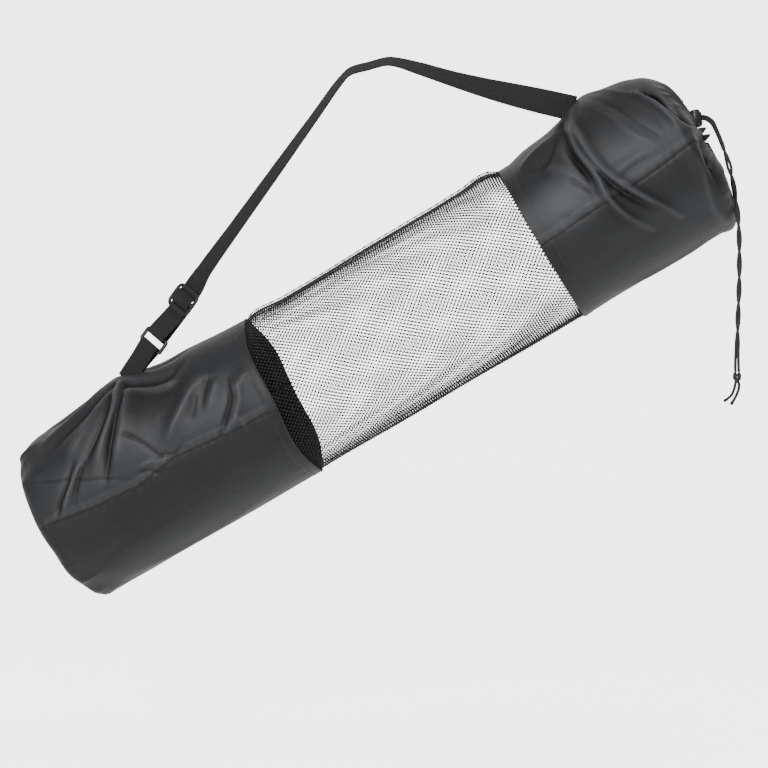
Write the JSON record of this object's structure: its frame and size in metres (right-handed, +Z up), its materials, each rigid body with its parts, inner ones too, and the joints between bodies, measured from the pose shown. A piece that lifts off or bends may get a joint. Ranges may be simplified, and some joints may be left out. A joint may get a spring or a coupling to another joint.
{
  "type": "yoga mat bag",
  "caption": "Cylindrical fabric bag for a rolled yoga mat, with a mesh window round its middle, a drawstring mouth with a cord lock, and an adjustable webbing shoulder strap.",
  "frame": {"origin": "just under the shoulder strap, where it lies over the hand", "axes": "+X along the hanging bag from its closed base towards the mouth, +Z up, +Y away from the side that faces the camera"},
  "size_m": [0.6344, 0.1679, 0.4789],
  "materials": {
    "fabric": "charcoal woven nylon with a soft sheen",
    "mesh_cloth": "black knitted net",
    "webbing": "black ribbed polypropylene webbing",
    "moulded_plastic": "black moulded nylon, satin",
    "cord": "black braided cord, matte"
  },
  "bodies": {
    "bag": {"base_panel": "fabric", "lower_panel": "fabric", "upper_panel": "fabric", "net_panel": "mesh_cloth", "drawstring_channel": "fabric", "strap_anchor": "webbing", "strap_ring": "moulded_plastic", "strap_slider": "moulded_plastic", "shoulder_strap": "webbing", "lock_barrel": "moulded_plastic", "drawstring_front": "cord", "drawstring_back": "cord", "drawstring_tail_left": "cord", "drawstring_tail_right": "cord", "drawstring_knot": "cord"},
    "lock_button": {"lock_button": "moulded_plastic"}
  },
  "joints": [
    {"name": "button_press", "type": "slide", "parent": "bag", "child": "lock_button", "axis": [0.1392, 0, -0.9903], "range_m": [0, 0.002], "stiffness_N_per_m": 400}
  ]
}
